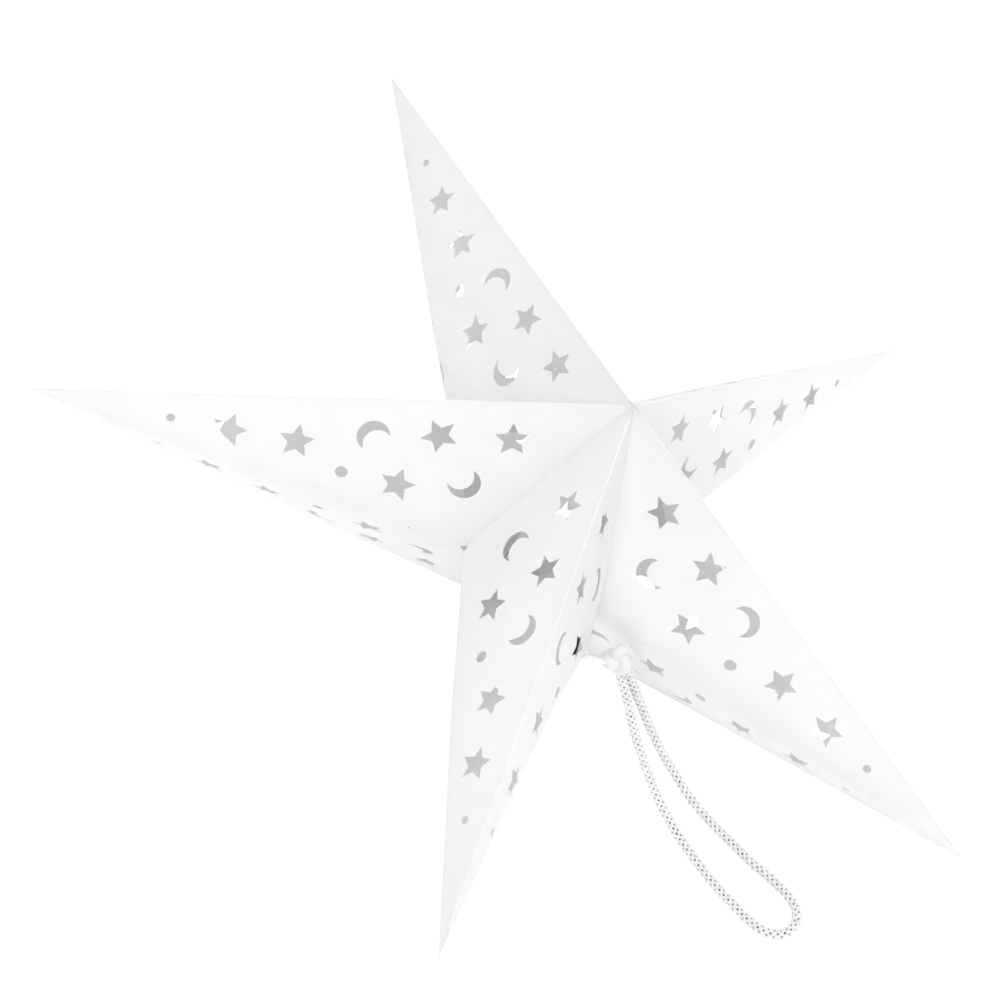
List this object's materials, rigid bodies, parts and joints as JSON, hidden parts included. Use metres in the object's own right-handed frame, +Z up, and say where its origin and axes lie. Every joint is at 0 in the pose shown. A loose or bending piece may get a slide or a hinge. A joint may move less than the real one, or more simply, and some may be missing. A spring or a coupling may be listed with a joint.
{
  "type": "folding paper star lantern",
  "caption": "Folding five-point star lantern of white punched card arms, with a braided hanging loop tied at its open seam.",
  "frame": {"origin": "centre of the star's base box on the surface it lies on, with the star resting on the tips of arm_2 and arm_3 and on its back apex", "axes": "+Z up; +Y along the star's longest extent, from the tip of arm_4 towards the tip of arm_1; +X towards the valley between the two tips it stands on"},
  "size_m": [0.2508, 0.2864, 0.102],
  "materials": {
    "paper": "matte white coated card",
    "cord": "white polyester braid",
    "stop": "matte black moulded"
  },
  "bodies": {
    "arm_4": {"arm_4": "paper", "cord_stop": "stop", "cord_tails": "cord", "cord_knot": "cord", "hanging_cord": "cord"},
    "arm_5": {"arm_5": "paper"},
    "arm_1": {"arm_1": "paper"},
    "arm_2": {"arm_2": "paper"},
    "arm_3": {"arm_3": "paper"}
  },
  "joints": [
    {"name": "arm_5_fold", "type": "hinge", "parent": "arm_4", "child": "arm_5", "pos_m": [0.01375, 0.0023, 0.0457], "axis": [0.4056, 0, 0.9141], "range_deg": [0, 72], "deforming": ["arm_5", "arm_4"]},
    {"name": "arm_1_fold", "type": "hinge", "parent": "arm_5", "child": "arm_1", "pos_m": [0.01375, 0.0023, 0.0457], "axis": [0.4056, 0, 0.9141], "range_deg": [0, 66.01], "deforming": ["arm_1"]},
    {"name": "arm_2_fold", "type": "hinge", "parent": "arm_1", "child": "arm_2", "pos_m": [0.01375, 0.0023, 0.0457], "axis": [0.4056, 0, 0.9141], "range_deg": [0, 69.51], "deforming": ["arm_2"]},
    {"name": "arm_3_fold", "type": "hinge", "parent": "arm_2", "child": "arm_3", "pos_m": [0.01375, 0.0023, 0.0457], "axis": [0.4056, 0, 0.9141], "range_deg": [0, 69.01], "deforming": ["arm_3"]}
  ],
  "couplings": [
    {"joint": "arm_1_fold", "follows": "arm_5_fold", "ratio": 0.91667},
    {"joint": "arm_2_fold", "follows": "arm_5_fold", "ratio": 0.96528},
    {"joint": "arm_3_fold", "follows": "arm_5_fold", "ratio": 0.95833}
  ]
}
